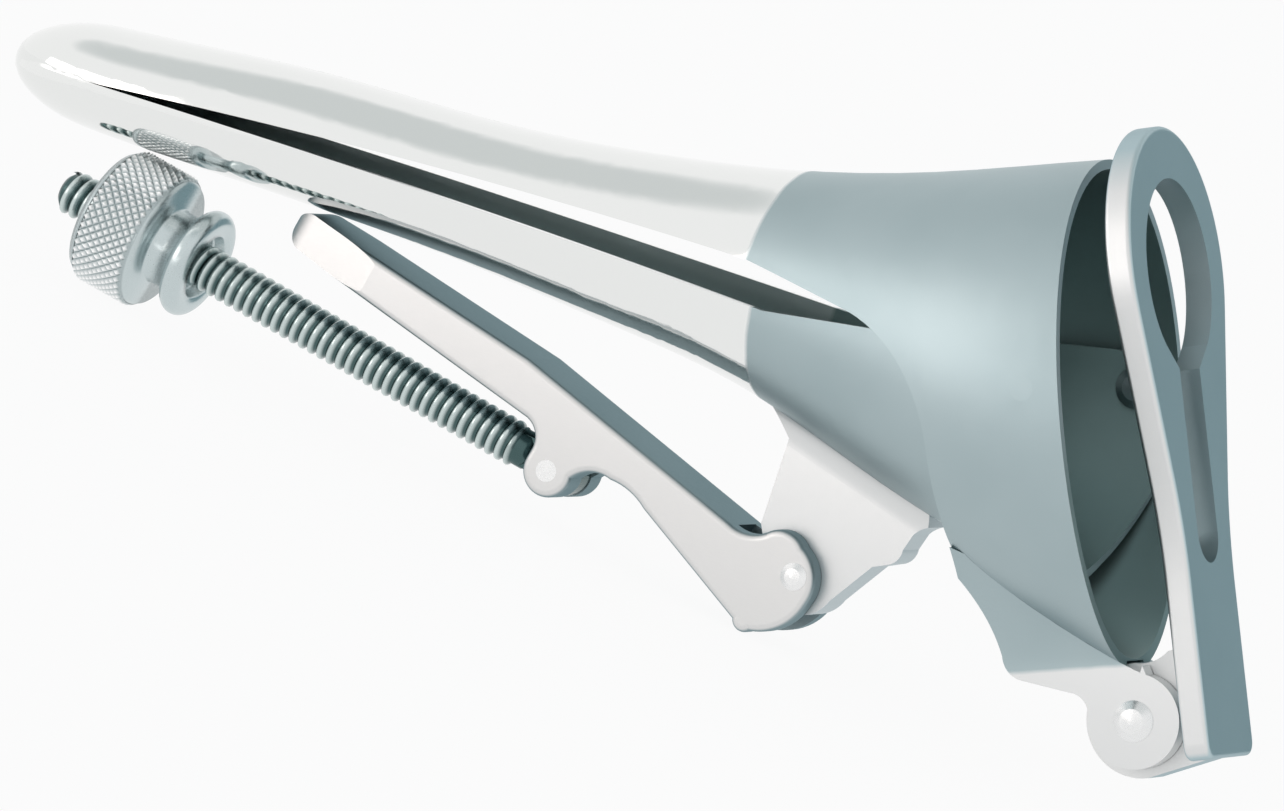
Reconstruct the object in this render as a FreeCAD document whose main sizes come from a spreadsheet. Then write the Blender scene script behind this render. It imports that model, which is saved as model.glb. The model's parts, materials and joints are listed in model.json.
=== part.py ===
"""Bivalve speculum, folded, standing on the rim of its nut and the heel of its lever.

Lengths are millimetres and angles degrees. Each piece is drawn in the blade frame: X runs from
the blade tips back to the mouth, Z is up and the blades meet at Z = 0. X = 0 is close to the mouth,
over the front of the lug. The lever, the screw and the plate have frames of their own on their pins.
"""
import FreeCAD, Part
import math
import os

import Sketcher
from FreeCAD import Matrix, Placement, Rotation, Vector

SIZES = [
    ("wall", 1.3, "sheet of both valves"),
    ("nose_x", -141.0, "where the blades start to round off to the tip"),
    ("nose_length", 15.0, "length of the rounded tip"),
    ("nose_rise", 7.1, "upper blade height at the nose"),
    ("nose_drop", 6.9, "lower blade height at the nose"),
    ("nose_half", 11.2, "half width of the blades at the nose"),
    ("fore_x", -115.0, "blade section behind the nose"),
    ("fore_rise", 8.9, "upper blade height there"),
    ("fore_drop", 7.7, "lower blade height there"),
    ("fore_half", 12.0, "half width there"),
    ("mid_x", -86.0, "blade section at mid length"),
    ("mid_rise", 9.5, "upper blade height there"),
    ("mid_drop", 9.2, "lower blade height there"),
    ("mid_half", 12.8, "half width there"),
    ("rear_x", -66.0, "blade section at the rear"),
    ("rear_rise", 11.5, "upper blade height there"),
    ("rear_drop", 11.2, "lower blade height there"),
    ("rear_half", 13.8, "half width there"),
    ("root_x", -46.0, "where polish ends and the satin flare begins"),
    ("root_rise", 14.9, "upper valve height there"),
    ("root_drop", 14.0, "lower valve height there"),
    ("root_half", 15.5, "half width there"),
    ("flare_x", -30.0, "section through the flare"),
    ("flare_rise", 19.3, "collar height there"),
    ("flare_drop", 20.5, "collar depth there"),
    ("flare_half", 19.0, "collar half width there"),
    ("flare_lower_drop", 18.8, "lower valve depth there"),
    ("flare_lower_half", 16.9, "lower valve half width there"),
    ("collar_x", -15.0, "section through the front of the collar"),
    ("collar_rise", 24.6, "collar height there"),
    ("collar_drop", 26.3, "collar depth there"),
    ("collar_half", 22.7, "collar half width there"),
    ("collar_lower_drop", 23.0, "lower valve depth there"),
    ("collar_lower_half", 19.1, "lower valve half width there"),
    ("hinge_rise", 29.8, "collar height over the side rivets"),
    ("hinge_drop", 30.6, "collar depth under the side rivets"),
    ("hinge_half", 23.9, "collar half width at the side rivets"),
    ("hinge_lower_drop", 25.6, "lower valve depth under the side rivets"),
    ("nest_gap", 0.3, "gap between the collar and the nested lower valve at the rivets"),
    ("mouth_x", 15.0, "section behind the mouth"),
    ("mouth_rise", 35.0, "collar height there"),
    ("mouth_drop", 33.6, "collar depth there"),
    ("mouth_half", 24.6, "collar half width there"),
    ("rim_top_x", -9.4, "top of the mouth rim"),
    ("rim_lean", 19.1, "lean of the mouth rim, top forward"),
    ("hinge_x", -3.6, "side rivets that the valves turn on"),
    ("hinge_z", -1.3, "height of the side rivets"),
    ("hinge_rivet_radius", 1.5, "shank of a side rivet"),
    ("hinge_head_radius", 2.7, "domed head of a side rivet, inside"),
    ("hinge_head_height", 1.4, "height of that head"),
    ("rivet_inset", 4.4, "widest point of the collar there to the seat of a rivet's inner head"),
    ("wing_radius", 4.0, "rounding of the lower valve round its rivets"),
    ("running_gap", 0.05, "radial clearance of each pin in the piece that turns on it"),
    ("upper_edge_z", 3.2, "lower edge of the upper valve at the root"),
    ("lower_edge_z", -2.3, "upper edge of the lower valve at the root"),
    ("edge_bow", 1200.0, "radius of the long blade edges"),
    ("front_turn_x", -31.5, "where the front edge of the collar starts to sweep down"),
    ("front_turn_z", 1.3, "its height there"),
    ("front_turn_radius", 19.0, "radius of that sweep"),
    ("front_side_x", -14.8, "end of the sweep at the side of the collar"),
    ("front_side_z", -12.4, "its height there"),
    ("front_foot_x", -9.3, "front edge of the collar at its bottom"),
    ("front_foot_z", -30.0, "its height there"),
    ("lower_rear_x", 2.2, "rear edge of the lower valve"),
    ("web_thickness", 5.8, "web under the lower valve"),
    ("web_front_x", -39.5, "front edge of that web"),
    ("web_rear_x", -20.3, "rear edge of that web"),
    ("web_rear_z", -28.6, "bottom of the web behind the lever"),
    ("web_rounding", 2.4, "rounding of the web's rear corner"),
    ("web_boss_radius", 4.9, "rounding of the web round the lever pin"),
    ("web_flare", 5.2, "radius of the fillet that spreads the web under the valve"),
    ("web_sink", 0.3, "how far the top of that fillet runs into the sheet"),
    ("lever_pin_x", -32.4, "lever pin"),
    ("lever_pin_z", -34.2, "height of the lever pin"),
    ("lever_tilt", 16.06, "slope of the folded lever"),
    ("lever_width", 11.6, "width of the lever"),
    ("lever_reach", 83.2, "lever pin to the lever's tip"),
    ("lever_edge", 0.9, "rounding of the lever's long edges"),
    ("lever_fork_gap", 0.1, "gap on each side of the web in the fork"),
    ("lever_fork_depth", 10.6, "lever pin to the bottom of the fork"),
    ("lever_pin_radius", 1.4, "shank of the lever pin"),
    ("lever_pin_head", 1.75, "riveted ends of the lever pin"),
    ("lever_pin_crown", 0.7, "domed end of the lever pin"),
    ("lobe_x", -35.4, "screw pin, along the lever"),
    ("lobe_z", -6.7, "screw pin, below the lever's line"),
    ("lobe_radius", 3.4, "rounding of the lobe round the screw pin"),
    ("eye_thickness", 3.0, "flattened eye of the screw"),
    ("eye_gap", 0.1, "gap on each side of the eye in the lobe"),
    ("eye_radius", 3.2, "outside of the eye"),
    ("screw_pin_radius", 1.4, "screw pin, ground flush"),
    ("screw_tilt", 11.5, "slope of the folded screw"),
    ("screw_radius", 3.0, "outside of the screw"),
    ("screw_length", 78.4, "screw pin to the free end of the screw"),
    ("screw_start", 5.2, "screw pin to the start of the round rod"),
    ("screw_point", 0.9, "chamfer at the free end"),
    ("nut_inset", 22.4, "free end of the screw to the nut's flange"),
    ("flange_radius", 7.4, "flange of the nut"),
    ("flange_thickness", 2.9, "thickness of that flange"),
    ("neck_radius", 5.1, "neck of the nut"),
    ("neck_length", 3.6, "length of the neck"),
    ("wheel_radius", 9.5, "knurled wheel of the nut"),
    ("wheel_thickness", 9.2, "thickness of the wheel"),
    ("wheel_chamfer", 0.9, "chamfer of the wheel's edges"),
    ("counterbore_radius", 4.3, "counterbore in the flange"),
    ("counterbore_depth", 2.0, "depth of the counterbore"),
    ("plate_pin_x", 15.8, "plate pin"),
    ("plate_pin_z", -38.6, "height of the plate pin"),
    ("plate_tilt", -22.7, "lean of the folded plate, top forward"),
    ("plate_thickness", 3.4, "keyhole plate"),
    ("plate_edge", 0.6, "rounding of the plate's edges"),
    ("plate_offset", 6.95, "plate pin to the front face of the plate"),
    ("plate_head_z", 55.5, "centre of the plate's round head above the pin"),
    ("plate_head_radius", 17.6, "round head of the plate"),
    ("plate_waist", 5.0, "how far below its centre the head runs into the flanks"),
    ("plate_hole_z", 54.65, "centre of the round hole above the pin"),
    ("plate_hole_radius", 11.9, "round hole of the keyhole"),
    ("slot_half", 3.85, "half width of the slot"),
    ("slot_bottom_z", 18.5, "bottom of the slot above the pin"),
    ("flank_z", 28.5, "where the plate's flanks begin to turn parallel"),
    ("flank_half", 10.5, "half width there"),
    ("shank_z", 15.0, "top of the parallel shank"),
    ("shank_half", 8.8, "half width of the shank"),
    ("foot_z", -5.7, "square foot of the plate, below the pin"),
    ("foot_corner", 2.0, "rounded corners of the foot"),
    ("knuckle_width", 6.0, "knuckle of the plate between the ears"),
    ("knuckle_gap", 0.2, "gap on each side of the knuckle"),
    ("knuckle_radius", 7.2, "knuckle of the plate"),
    ("knuckle_relief", 0.4, "relief cut in the rim for the knuckle"),
    ("knuckle_top", 9.4, "top of the bridge from the plate to its knuckle"),
    ("lug_foot_z", -36.8, "foot of the lug's spread flank, at X = 0"),
    ("lug_foot_rise", 0.372, "how that foot rises towards the mouth"),
    ("lug_spread_front", 27.5, "radius of the flank at the collar's front edge"),
    ("lug_spread_rear", 0.8, "radius of the flank near the rim"),
    ("lug_spread_turn", 47.0, "how far the flank curves before it meets the collar"),
    ("lug_rounding", 3.2, "rounding of the lug's front corner"),
    ("ear_thickness", 2.8, "each ear of the collar lug"),
    ("ear_radius", 6.0, "round ears of the collar lug"),
    ("lug_front_x", -2.9, "front of the collar lug"),
    ("lug_bottom_z", -38.0, "bottom of the collar lug in front of its ears"),
    ("plate_pin_radius", 2.0, "shank of the plate pin"),
    ("plate_pin_head", 2.6, "domed heads of the plate pin"),
    ("plate_pin_crown", 1.1, "height of those heads"),
]

NAMES = {alias for alias, _, _ in SIZES}

doc = FreeCAD.newDocument("bivalve_speculum")
sheet = doc.addObject("Spreadsheet::Sheet", "Sizes")
for row, (alias, value, meaning) in enumerate(SIZES, start=1):
    sheet.set(f"A{row}", meaning)
    sheet.set(f"B{row}", str(value))
    sheet.setAlias(f"B{row}", alias)
doc.recompute()


def size(formula):
    """The value of a formula over the sheet's names, such as "wall * 2"."""
    return float(sheet.evalExpression(formula))


def cells(formula):
    """The same formula as other objects read it, with the sheet's name before each cell's."""
    words = []
    word = ""
    for letter in formula + " ":
        if letter.isalnum() or letter in "_.":
            word += letter
            continue
        words.append("Sizes." + word if word and word in NAMES else word)
        words.append(letter)
        word = ""
    return "".join(words).strip()


def plane_of(body, role):
    """The origin plane of a body with this role."""
    return next(part for part in body.Origin.OriginFeatures if part.Role == role)


def arc_between(start, end, radius):
    """The short arc between two points; a positive radius has its centre on the left of the way."""
    chord = end - start
    middle = (start + end) * 0.5
    left = Vector(-chord.y, chord.x, 0).normalize()
    height = math.sqrt(max(radius * radius - chord.Length ** 2 / 4, 0))
    centre = middle + left * math.copysign(height, radius)
    first, last = (start, end) if radius > 0 else (end, start)
    angles = [math.atan2(point.y - centre.y, point.x - centre.x) for point in (first, last)]
    return Part.ArcOfCircle(Part.Circle(centre, Vector(0, 0, 1), abs(radius)), *angles)


def set_place(sketch, side, end, corner, index):
    """Ties one end of a side to the formulas of its corner."""
    for kind, formula in (("DistanceX", corner[0]), ("DistanceY", corner[1])):
        value = size(formula)
        if abs(value) < 1e-9:
            axis = -2 if kind == "DistanceX" else -1
            sketch.addConstraint(Sketcher.Constraint("PointOnObject", side, end, axis))
            continue
        number = sketch.addConstraint(Sketcher.Constraint(kind, side, end, value))
        name = f"{kind[-1].lower()}{index}"
        sketch.renameConstraint(number, name)
        sketch.setExpression(f"Constraints.{name}", cells(formula))


def outline(body, role, name, corners):
    """A closed sketch. A corner is (x, y), or (x, y, radius) for an arc to the next corner."""
    sketch = body.newObject("Sketcher::SketchObject", name)
    sketch.AttachmentSupport = [(plane_of(body, role), "")]
    sketch.MapMode = "FlatFace"
    points = [Vector(size(corner[0]), size(corner[1]), 0) for corner in corners]
    ends = []
    for index, corner in enumerate(corners):
        start, end = points[index], points[(index + 1) % len(points)]
        if len(corner) == 3:
            radius = size(corner[2])
            side = sketch.addGeometry(arc_between(start, end, radius))
            ends.append((side, 1, 2) if radius > 0 else (side, 2, 1))
        else:
            side = sketch.addGeometry(Part.LineSegment(start, end))
            ends.append((side, 1, 2))
    for index, (side, start, end) in enumerate(ends):
        following = ends[(index + 1) % len(ends)]
        sketch.addConstraint(Sketcher.Constraint("Coincident", side, end, following[0], following[1]))
        set_place(sketch, side, start, corners[index], index)
        if len(corners[index]) == 3:
            radius = size(corners[index][2])
            number = sketch.addConstraint(Sketcher.Constraint("Radius", side, abs(radius)))
            sketch.renameConstraint(number, f"r{index}")
            sketch.setExpression(f"Constraints.r{index}", cells(f"abs({corners[index][2]})"))
    return sketch


def ring(body, role, name, x, y, radius):
    """A sketch of one circle."""
    sketch = body.newObject("Sketcher::SketchObject", name)
    sketch.AttachmentSupport = [(plane_of(body, role), "")]
    sketch.MapMode = "FlatFace"
    centre = Vector(size(x), size(y), 0)
    side = sketch.addGeometry(Part.Circle(centre, Vector(0, 0, 1), size(radius)))
    set_place(sketch, side, 3, (x, y), 0)
    number = sketch.addConstraint(Sketcher.Constraint("Radius", side, size(radius)))
    sketch.renameConstraint(number, "r0")
    sketch.setExpression("Constraints.r0", cells(radius))
    return sketch


def body_named(label):
    """A new body under the name of its piece."""
    body = doc.addObject("PartDesign::Body", label)
    body.Label = label
    return body


def pad(body, sketch, width):
    """A pad as wide as the formula says, half on each side of its sketch."""
    feature = body.newObject("PartDesign::Pad", sketch.Name + "_pad")
    feature.Profile = sketch
    feature.SideType = "Symmetric"
    feature.setExpression("Length", cells(width))
    sketch.Visibility = False
    return feature


def cut(body, sketch, width=None):
    """A cut half on each side of its sketch, through everything if it has no width."""
    feature = body.newObject("PartDesign::Pocket", sketch.Name + "_cut")
    feature.Profile = sketch
    feature.SideType = "Symmetric"
    if width is None:
        feature.Type = "ThroughAll"
    else:
        feature.setExpression("Length", cells(width))
    sketch.Visibility = False
    return feature


def revolve(body, sketch, axis):
    """A full turn of a sketch about its own horizontal or vertical axis."""
    feature = body.newObject("PartDesign::Revolution", sketch.Name + "_turn")
    feature.Profile = sketch
    feature.ReferenceAxis = (sketch, [axis])
    feature.Angle = 360.0
    sketch.Visibility = False
    return feature


def rounded(body, feature, axis, levels, radius):
    """Rounds the edges of a pad's end faces, which lie flat at these levels of an axis."""
    for number, level in enumerate(levels, start=1):
        doc.recompute()
        names = []
        for index, edge in enumerate(feature.Shape.Edges, start=1):
            box = edge.BoundBox
            low, high = (box.XMin, box.XMax) if axis == "X" else (box.YMin, box.YMax)
            if abs(low - level) + abs(high - level) < 1e-4:
                names.append(f"Edge{index}")
        fillet = body.newObject("PartDesign::Fillet", f"{body.Name}_edges_{number}")
        fillet.Base = (feature, names)
        fillet.setExpression("Radius", cells(radius))
        feature = fillet
    return feature


def section(x, rise, drop, half, shrink):
    """The closed oval across a valve at x, taken in by shrink."""
    matrix = Matrix()
    matrix.scale(1.0, half - shrink, (rise + drop) / 2 - shrink)
    matrix.move(Vector(x, 0, (rise - drop) / 2))
    circle = Part.Circle(Vector(0, 0, 0), Vector(1, 0, 0), 1.0).toShape()
    return Part.Wire(circle.transformGeometry(matrix).Edges)


def nose_sections(rise, shrink):
    """Ovals that round the blades off, on a quarter of an ellipse from the nose to the tip."""
    sections = []
    length = size("nose_length") - shrink
    for share in (0.995, 0.96, 0.86, 0.68, 0.4):
        full = math.sqrt(1 - share * share)
        half = (size("nose_half") - shrink) * full
        height = (size(rise) - shrink) * full
        sections.append(section(size("nose_x") - share * length, height, height, half, 0.0))
    return sections


def envelope(label, stations, rise, shrink):
    """The solid inside a valve's outer face, or its inner face when shrunk by the wall."""
    wires = nose_sections(rise, shrink)
    for x, top, bottom, half in stations:
        wires.append(section(size(x), size(top), size(bottom), size(half), shrink))
    feature = doc.addObject("Part::Feature", label)
    feature.Shape = Part.makeLoft(wires, True, False)
    return feature


UPPER_STATIONS = [
    ("nose_x", "nose_rise", "nose_rise", "nose_half"),
    ("fore_x", "fore_rise", "fore_rise", "fore_half"),
    ("mid_x", "mid_rise", "mid_rise", "mid_half"),
    ("rear_x", "rear_rise", "rear_rise", "rear_half"),
    ("root_x", "root_rise", "root_rise", "root_half"),
    ("flare_x", "flare_rise", "flare_drop", "flare_half"),
    ("collar_x", "collar_rise", "collar_drop", "collar_half"),
    ("0", "hinge_rise", "hinge_drop", "hinge_half"),
    ("mouth_x", "mouth_rise", "mouth_drop", "mouth_half"),
]
NESTED_HALF = "hinge_half - wall - nest_gap"
LOWER_STATIONS = [
    ("nose_x", "nose_drop", "nose_drop", "nose_half"),
    ("fore_x", "fore_drop", "fore_drop", "fore_half"),
    ("mid_x", "mid_drop", "mid_drop", "mid_half"),
    ("rear_x", "rear_drop", "rear_drop", "rear_half"),
    ("root_x", "root_drop", "root_drop", "root_half"),
    ("flare_x", "flare_lower_drop + hinge_z", "flare_lower_drop", "flare_lower_half"),
    ("collar_x", "collar_lower_drop + 2 * hinge_z", "collar_lower_drop", "collar_lower_half"),
    ("0", "hinge_lower_drop + 2 * hinge_z", "hinge_lower_drop", NESTED_HALF),
    ("mouth_x", "hinge_lower_drop + 2 * hinge_z", "hinge_lower_drop", NESTED_HALF),
]
FAR = "90"
PAST_TIP = "nose_x - 2 * nose_length"


def skin(label, stations, rise):
    """The lofted sheet of a valve: its outer envelope less its inner one."""
    outer = envelope(label + "_outer", stations, rise, 0.0)
    inner = envelope(label + "_inner", stations, rise, size("wall"))
    sheet_metal = doc.addObject("Part::Cut", label + "_skin")
    sheet_metal.Base = outer
    sheet_metal.Tool = inner
    return outer, sheet_metal


def upper_valve():
    """Upper blade and the flared collar that goes right round the mouth."""
    outer, base = skin("upper", UPPER_STATIONS, "nose_rise")
    body = body_named("upper_valve")
    body.BaseFeature = base
    below = outline(body, "XZ_Plane", "upper_front_edge", [
        (PAST_TIP, "0"),
        ("nose_x", "0", "-edge_bow"),
        ("root_x", "upper_edge_z"),
        ("front_turn_x", "front_turn_z", "-front_turn_radius"),
        ("front_side_x", "front_side_z"),
        ("front_foot_x", "front_foot_z"),
        ("front_foot_x + ear_radius / 2", "front_foot_z - ear_radius"),
        ("front_foot_x", "-" + FAR),
        (PAST_TIP, "-" + FAR),
    ])
    cut(body, below)
    rim_run = "(" + FAR + ") * tan(rim_lean * 1 deg)"
    behind = outline(body, "XZ_Plane", "upper_rim", [
        (f"rim_top_x + (hinge_rise) * tan(rim_lean * 1 deg) + {rim_run}", "-" + FAR),
        (f"rim_top_x + (hinge_rise) * tan(rim_lean * 1 deg) - {rim_run}", FAR),
        (FAR + " * 2", FAR),
        (FAR + " * 2", "-" + FAR),
    ])
    cut(body, behind)
    holes = ring(body, "XZ_Plane", "upper_rivet_holes", "hinge_x", "hinge_z", "hinge_rivet_radius")
    cut(body, holes)
    relief = ring(body, "XZ_Plane", "upper_relief", "plate_pin_x", "plate_pin_z", "knuckle_radius + knuckle_relief")
    cut(body, relief, "knuckle_width + 2 * knuckle_gap")
    return outer, body


def lower_valve():
    """Lower blade; its rear end nests in the collar and hangs on the side rivets."""
    outer, base = skin("lower", LOWER_STATIONS, "nose_drop")
    body = body_named("lower_valve")
    body.BaseFeature = base
    above = outline(body, "XZ_Plane", "lower_top_edge", [
        (PAST_TIP, FAR),
        (PAST_TIP, "0"),
        ("nose_x", "0", "-edge_bow * 2"),
        ("root_x + 4", "lower_edge_z"),
        ("collar_x", "hinge_z + wing_radius * 0.65"),
        ("hinge_x - wing_radius", "hinge_z + wing_radius * 0.98"),
        ("hinge_x", "hinge_z + wing_radius", "-wing_radius"),
        ("hinge_x + wing_radius", "hinge_z"),
        ("lower_rear_x", "hinge_z - wing_radius * 3"),
        ("lower_rear_x - 1.2", "-collar_lower_drop"),
        ("lower_rear_x - 1.2", "-" + FAR),
        (FAR, "-" + FAR),
        (FAR, FAR),
    ])
    cut(body, above)
    holes = ring(body, "XZ_Plane", "lower_rivet_holes", "hinge_x", "hinge_z", "hinge_rivet_radius + running_gap")
    cut(body, holes)
    return outer, body


def domed_pin(label, profile):
    """A turned pin across the instrument: the profile is (radius, y) about the Y axis."""
    body = body_named(label)
    revolve(body, outline(body, "XY_Plane", label + "_profile", profile), "V_Axis")
    return body


def hinge_rivet(label, side):
    """A side rivet: ground flush with the collar, with a domed head inside the lower valve."""
    seat = "(hinge_half - rivet_inset)"
    profile = [
        ("0", f"{side} * (hinge_half + wall)"),
        ("hinge_rivet_radius", f"{side} * (hinge_half + wall)"),
        ("hinge_rivet_radius", f"{side} * {seat}"),
        ("hinge_head_radius", f"{side} * {seat}"),
        ("hinge_head_radius", f"{side} * ({seat} - hinge_head_height * 0.3)"),
        ("hinge_head_radius * 0.6", f"{side} * ({seat} - hinge_head_height * 0.85)"),
        ("0", f"{side} * ({seat} - hinge_head_height)"),
    ]
    ground = doc.addObject("Part::Common", label)
    ground.Label = label
    ground.Base = domed_pin(label + "_blank", profile)
    ground.Tool = upper_outer
    place = Placement(Vector(size("hinge_x"), 0, size("hinge_z")), Rotation())
    ground.Base.Placement = place
    return ground


def spread(body, name, half, flare, foot, lean):
    """Trims a wide lug to its thickness, with a fillet on each side up to the sheet above."""
    trim = outline(body, "YZ_Plane", name, [
        ("40", "-80"),
        ("40", f"{flare}"),
        (f"{half} + {flare}", f"{flare}", flare),
        (half, "0"),
        (half, "-60"),
        ("-" + half, "-60"),
        ("-" + half, "0", flare),
        (f"-{half} - {flare}", f"{flare}"),
        ("-40", f"{flare}"),
        ("-40", "-80"),
    ])
    trim.setExpression("AttachmentOffset.Base.y", cells(foot))
    trim.setExpression("AttachmentOffset.Rotation.Angle", cells(lean))
    trim.setExpression("AttachmentOffset.Rotation.Axis.x", "1")
    trim.setExpression("AttachmentOffset.Rotation.Axis.y", "0")
    trim.setExpression("AttachmentOffset.Rotation.Axis.z", "0")
    return cut(body, trim)


def underside(rise, drop, half, across):
    """How deep an oval section hangs below Z = 0 at a distance from the middle plane."""
    return f"((({drop}) - ({rise})) / 2 + (({drop}) + ({rise})) / 2 * sqrt(1 - ({across} / ({half})) ^ 2))"


def lower_lug():
    """The web brazed under the lower valve, spread where it meets the sheet."""
    body = body_named("lower_lug_web")
    web = outline(body, "XZ_Plane", "web", [
        ("web_front_x - web_flare / 2", "-root_drop"),
        ("web_front_x + web_flare * 0.13", "-root_drop - web_flare * 0.77"),
        ("web_front_x", "lever_pin_z + web_boss_radius"),
        ("lever_pin_x - web_boss_radius", "lever_pin_z", "web_boss_radius"),
        ("lever_pin_x", "lever_pin_z - web_boss_radius", "web_boss_radius"),
        ("lever_pin_x + web_boss_radius * 0.9", "lever_pin_z - web_boss_radius * 0.4"),
        ("web_rear_x - web_rounding * 1.4", "web_rear_z - web_rounding * 0.75"),
        ("web_rear_x - web_rounding * 0.67", "web_rear_z - web_rounding * 0.42", "web_rounding"),
        ("web_rear_x", "web_rear_z + web_rounding * 0.58"),
        ("web_rear_x + web_rounding / 3", "web_rear_z + web_rounding * 1.5", "-web_rounding * 1.7"),
        ("web_rear_x + web_rounding * 1.05", "web_rear_z + web_rounding * 2.1"),
        ("web_rear_x + web_rounding * 1.05", "-root_drop"),
    ])
    pad(body, web, "web_thickness + 2 * web_flare")
    edge = "(web_thickness / 2 + web_flare)"
    front = underside("flare_lower_drop + hinge_z", "flare_lower_drop", "flare_lower_half", edge)
    rear = underside("collar_lower_drop + 2 * hinge_z", "collar_lower_drop", "collar_lower_half", edge)
    slope = f"(({rear} - {front}) / (collar_x - flare_x))"
    foot = f"flare_x * {slope} - {front} - web_flare + web_sink"
    spread(body, "web_sides", "(web_thickness / 2)", "web_flare", foot, f"atan({slope})")
    hole = ring(body, "XZ_Plane", "web_hole", "lever_pin_x", "lever_pin_z", "lever_pin_radius + running_gap")
    cut(body, hole)
    return body


def lug_side(label, width):
    """The side view of the collar lug, padded as wide as the formula says."""
    body = body_named(label)
    block = outline(body, "XZ_Plane", label + "_side", [
        ("front_foot_x - lug_rounding * 0.6", "front_foot_z + lug_rounding * 1.88"),
        ("front_foot_x - lug_rounding * 0.22", "front_foot_z + lug_rounding * 0.72", "-lug_rounding * 9"),
        ("lug_front_x", "lug_bottom_z + lug_rounding * 0.69", "lug_rounding"),
        ("lug_front_x + lug_rounding", "lug_bottom_z"),
        ("plate_pin_x - ear_radius * 1.4", "lug_bottom_z + lug_rounding * 0.13", "-lug_rounding * 0.81"),
        ("plate_pin_x - ear_radius * 0.98", "plate_pin_z - ear_radius * 0.2", "ear_radius"),
        ("plate_pin_x", "plate_pin_z - ear_radius", "ear_radius"),
        ("plate_pin_x + ear_radius", "plate_pin_z", "ear_radius"),
        ("plate_pin_x", "plate_pin_z + ear_radius"),
        ("plate_pin_x - ear_radius * 0.83", "plate_pin_z + ear_radius * 2"),
    ])
    pad(body, block, width)
    return body


def flank_section(x, radius):
    """Across the lug: flat sides that curve out to the collar, on an arc of this radius."""
    half = size("knuckle_width / 2 + knuckle_gap + ear_thickness")
    foot = size("lug_foot_z") + size("lug_foot_rise") * x
    ends = []
    for share in (1.0, 0.5):
        turn = math.radians(size("lug_spread_turn")) * share
        ends.append((half + radius * (1 - math.cos(turn)), foot + radius * math.sin(turn)))
    top, middle = ends
    floor = 2 * size("lug_bottom_z")
    near = [Vector(x, -half, floor), Vector(x, -half, foot), Vector(x, -middle[0], middle[1]),
            Vector(x, -top[0], top[1])]
    far = [Vector(point.x, -point.y, point.z) for point in near]
    return Part.Wire([
        Part.makeLine(near[0], near[1]),
        Part.Arc(*near[1:]).toShape(),
        Part.makeLine(near[3], far[3]),
        Part.Arc(far[3], far[2], far[1]).toShape(),
        Part.makeLine(far[1], far[0]),
        Part.makeLine(far[0], near[0]),
    ])


def collar_lug():
    """The forked lug brazed under the collar: spread flanks in front, two round ears behind."""
    half = "(knuckle_width / 2 + knuckle_gap + ear_thickness)"
    flank = doc.addObject("Part::Feature", "lug_flank")
    front = size("front_foot_x - lug_rounding")
    rear = size("plate_pin_x - ear_radius * 0.6")
    flank.Shape = Part.makeLoft([flank_section(front, size("lug_spread_front")),
                                 flank_section(rear, size("lug_spread_rear"))], True, True)
    wide = doc.addObject("Part::Common", "lug_wide")
    wide.Base = lug_side("lug_wide_block", "2 * collar_half")
    wide.Tool = flank
    whole = doc.addObject("Part::Fuse", "lug_whole")
    whole.Base = lug_side("lug_block", f"2 * {half}")
    whole.Tool = wide
    body = body_named("lug_opening")
    gap = outline(body, "XZ_Plane", "lug_gap", [
        ("plate_pin_x - knuckle_radius * 1.07", "plate_pin_z + ear_radius * 2"),
        ("plate_pin_x - knuckle_radius * 1.07", "plate_pin_z", "knuckle_radius * 1.07"),
        ("plate_pin_x", "plate_pin_z - knuckle_radius * 1.07"),
        ("plate_pin_x + ear_radius * 2", "plate_pin_z - knuckle_radius * 1.07"),
        ("plate_pin_x + ear_radius * 2", "plate_pin_z + ear_radius * 2"),
    ])
    pad(body, gap, "knuckle_width + 2 * knuckle_gap")
    hole = ring(body, "XZ_Plane", "lug_hole", "plate_pin_x", "plate_pin_z", "plate_pin_radius")
    pad(body, hole, "4 * ear_thickness + 2 * knuckle_width")
    forked = doc.addObject("Part::Cut", "lug_forked")
    forked.Base = whole
    forked.Tool = body
    return forked


def fitted(label, base, tool):
    """A lug with its top cut to the sheet that it is brazed to."""
    feature = doc.addObject("Part::Cut", label)
    feature.Label = label
    feature.Base = base
    feature.Tool = tool
    return feature


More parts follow.
